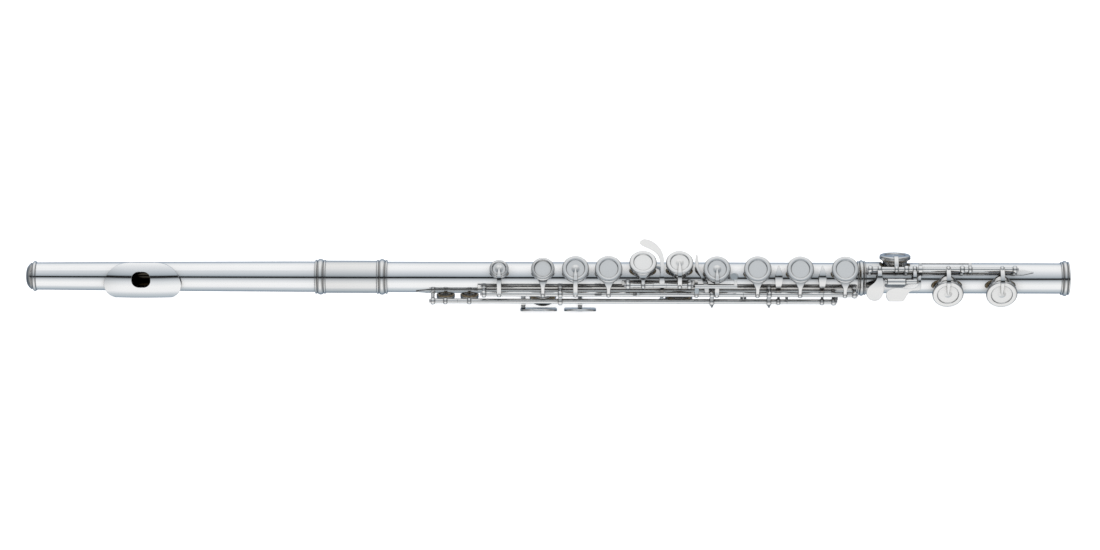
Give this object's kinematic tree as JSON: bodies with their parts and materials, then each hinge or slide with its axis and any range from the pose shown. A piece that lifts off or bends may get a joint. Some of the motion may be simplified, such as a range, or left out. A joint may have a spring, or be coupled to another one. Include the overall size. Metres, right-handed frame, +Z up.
{
  "type": "concert flute",
  "caption": "Metal concert flute with covered cups on hinge rods, lip plate, offset G keys, trill keys and a foot joint with roller.",
  "frame": {"origin": "on the tube's axis at the foot joint's open end", "axes": "+X along the tube, out of the foot's open end; +Z up through the main key cups; -Y towards the player"},
  "size_m": [0.6773, 0.0433, 0.0404],
  "materials": {
    "silver_plate": "polished silver plate",
    "pad": "felt under fish skin",
    "cork": "natural cork",
    "spring_steel": "blued steel",
    "hinge_steel": "drawn steel",
    "brass": "turned brass"
  },
  "bodies": {
    "body": {"body_tube": "silver_plate", "barrel": "silver_plate", "main_rib": "silver_plate", "g_rib": "silver_plate", "thumb_rib": "silver_plate", "body_posts": "silver_plate", "body_steels": "hinge_steel", "body_springs": "spring_steel"},
    "head": {"head_tube": "silver_plate", "lip_plate": "silver_plate", "embouchure_riser": "silver_plate"},
    "crown": {"crown": "silver_plate"},
    "stopper": {"stopper_screw": "brass", "stopper_cork": "cork", "stopper_nut": "brass"},
    "foot": {"foot_tube": "silver_plate", "foot_socket": "silver_plate", "foot_end_ring": "silver_plate", "foot_rib": "silver_plate", "foot_posts": "silver_plate", "foot_steel": "hinge_steel", "foot_springs": "spring_steel"},
    "c_sharp": {"c_sharp_key": "silver_plate", "c_sharp_pad": "pad"},
    "b_flat": {"b_flat_key": "silver_plate", "b_flat_pad": "pad"},
    "a": {"a_key": "silver_plate", "a_pad": "pad"},
    "side_lever": {"side_b_flat_lever": "silver_plate"},
    "g": {"g_upper_key": "silver_plate", "g_lower_key": "silver_plate", "g_steel": "hinge_steel", "g_pads": "pad"},
    "g_sharp": {"g_sharp_key": "silver_plate", "g_sharp_pad": "pad"},
    "thumb_b": {"thumb_b_key": "silver_plate", "thumb_b_pad": "pad"},
    "thumb_b_flat": {"thumb_b_flat_lever": "silver_plate"},
    "f_sharp": {"f_sharp_key": "silver_plate", "f_sharp_pad": "pad"},
    "f": {"f_key": "silver_plate", "f_pad": "pad"},
    "e": {"e_key": "silver_plate", "e_pad": "pad"},
    "d": {"d_key": "silver_plate", "d_pad": "pad"},
    "d_trill": {"d_trill_key": "silver_plate", "d_trill_pad": "pad"},
    "d_sharp_trill": {"d_sharp_trill_cup": "silver_plate", "d_sharp_trill_touch": "silver_plate", "trill_steel": "hinge_steel", "d_sharp_trill_pad": "pad"},
    "e_flat": {"e_flat_key": "silver_plate", "e_flat_pad": "pad"},
    "low_c_sharp": {"low_c_sharp_key": "silver_plate", "low_c_sharp_pad": "pad"},
    "roller": {"c_sharp_roller": "silver_plate"},
    "low_c": {"low_c_key": "silver_plate", "low_c_pad": "pad"}
  },
  "joints": [
    {"name": "head_slide", "type": "slide", "parent": "body", "child": "head", "axis": [-1, 0, 0], "range_m": [0, 0.008]},
    {"name": "crown_turn", "type": "hinge", "parent": "head", "child": "crown", "pos_m": [-0.6705, 0, 0], "axis": [1, 0, 0], "range_deg": [0, 720]},
    {"name": "stopper_travel", "type": "slide", "parent": "head", "child": "stopper", "axis": [-1, 0, 0], "range_m": [0, 0.002]},
    {"name": "foot_turn", "type": "hinge", "parent": "body", "child": "foot", "pos_m": [-0.13, 0, 0], "axis": [1, 0, 0], "range_deg": [-10, 10]},
    {"name": "c_sharp_hinge", "type": "hinge", "parent": "body", "child": "c_sharp", "pos_m": [0, -0.01461, 0.00602], "axis": [-1, 0, 0], "range_deg": [0, 9], "stiffness_Nm_per_rad": 0.02, "springref_deg": -20.05},
    {"name": "b_flat_hinge", "type": "hinge", "parent": "body", "child": "b_flat", "pos_m": [0, -0.01461, 0.00602], "axis": [-1, 0, 0], "range_deg": [0, 9], "stiffness_Nm_per_rad": 0.02, "springref_deg": -20.05},
    {"name": "a_hinge", "type": "hinge", "parent": "body", "child": "a", "pos_m": [0, -0.01461, 0.00602], "axis": [-1, 0, 0], "range_deg": [0, 9], "stiffness_Nm_per_rad": 0.02, "springref_deg": -20.05},
    {"name": "side_lever_hinge", "type": "hinge", "parent": "body", "child": "side_lever", "pos_m": [0, -0.01461, 0.00602], "axis": [-1, 0, 0], "range_deg": [0, 5], "stiffness_Nm_per_rad": 0.02, "springref_deg": -20.05},
    {"name": "g_hinge", "type": "hinge", "parent": "body", "child": "g", "pos_m": [0, -0.01082, 0.01152], "axis": [-1, 0, 0], "range_deg": [0, 9], "stiffness_Nm_per_rad": 0.02, "springref_deg": -20.05},
    {"name": "g_sharp_hinge", "type": "hinge", "parent": "body", "child": "g_sharp", "pos_m": [0, -0.01082, 0.01152], "axis": [-1, 0, 0], "range_deg": [0, 6], "stiffness_Nm_per_rad": 0.02, "springref_deg": -20.05},
    {"name": "thumb_b_hinge", "type": "hinge", "parent": "body", "child": "thumb_b", "pos_m": [0, 0.00906, -0.01294], "axis": [-1, 0, 0], "range_deg": [0, 8], "stiffness_Nm_per_rad": 0.02, "springref_deg": -20.05},
    {"name": "thumb_b_flat_hinge", "type": "hinge", "parent": "body", "child": "thumb_b_flat", "pos_m": [0, 0.00906, -0.01294], "axis": [-1, 0, 0], "range_deg": [0, 8], "stiffness_Nm_per_rad": 0.02, "springref_deg": -20.05},
    {"name": "f_sharp_hinge", "type": "hinge", "parent": "body", "child": "f_sharp", "pos_m": [0, -0.01461, 0.00602], "axis": [-1, 0, 0], "range_deg": [0, 9], "stiffness_Nm_per_rad": 0.02, "springref_deg": -20.05},
    {"name": "f_hinge", "type": "hinge", "parent": "body", "child": "f", "pos_m": [0, -0.01461, 0.00602], "axis": [-1, 0, 0], "range_deg": [0, 9], "stiffness_Nm_per_rad": 0.02, "springref_deg": -20.05},
    {"name": "e_hinge", "type": "hinge", "parent": "body", "child": "e", "pos_m": [0, -0.01461, 0.00602], "axis": [-1, 0, 0], "range_deg": [0, 9], "stiffness_Nm_per_rad": 0.02, "springref_deg": -20.05},
    {"name": "d_hinge", "type": "hinge", "parent": "body", "child": "d", "pos_m": [0, -0.01461, 0.00602], "axis": [-1, 0, 0], "range_deg": [0, 9], "stiffness_Nm_per_rad": 0.02, "springref_deg": -20.05},
    {"name": "d_trill_hinge", "type": "hinge", "parent": "body", "child": "d_trill", "pos_m": [0, -0.0168, -0.00038], "axis": [-1, 0, 0], "range_deg": [0, 7], "stiffness_Nm_per_rad": 0.02, "springref_deg": -20.05},
    {"name": "d_sharp_trill_hinge", "type": "hinge", "parent": "body", "child": "d_sharp_trill", "pos_m": [0, -0.0168, -0.00038], "axis": [-1, 0, 0], "range_deg": [0, 7], "stiffness_Nm_per_rad": 0.02, "springref_deg": -20.05},
    {"name": "e_flat_hinge", "type": "hinge", "parent": "foot", "child": "e_flat", "pos_m": [0, -0.00083, 0.01578], "axis": [1, 0, 0], "range_deg": [0, 8], "stiffness_Nm_per_rad": 0.02, "springref_deg": -20.05},
    {"name": "low_c_sharp_hinge", "type": "hinge", "parent": "foot", "child": "low_c_sharp", "pos_m": [0, -0.00083, 0.01578], "axis": [1, 0, 0], "range_deg": [0, 8], "stiffness_Nm_per_rad": 0.02, "springref_deg": -20.05},
    {"name": "low_c_hinge", "type": "hinge", "parent": "foot", "child": "low_c", "pos_m": [0, -0.00083, 0.01578], "axis": [1, 0, 0], "range_deg": [0, 8], "stiffness_Nm_per_rad": 0.02, "springref_deg": -20.05},
    {"name": "roller_spin", "type": "hinge", "parent": "low_c_sharp", "child": "roller", "pos_m": [-0.1134, -0.00874, 0.01388], "axis": [1, 0, 0], "continuous": true}
  ],
  "couplings": [
    {"joint": "stopper_travel", "follows": "crown_turn", "m_per_rad": 0.00015915},
    {"joint": "b_flat_hinge", "follows": "a_hinge", "ratio": 1},
    {"joint": "f_sharp_hinge", "follows": "f_hinge", "ratio": 1}
  ]
}
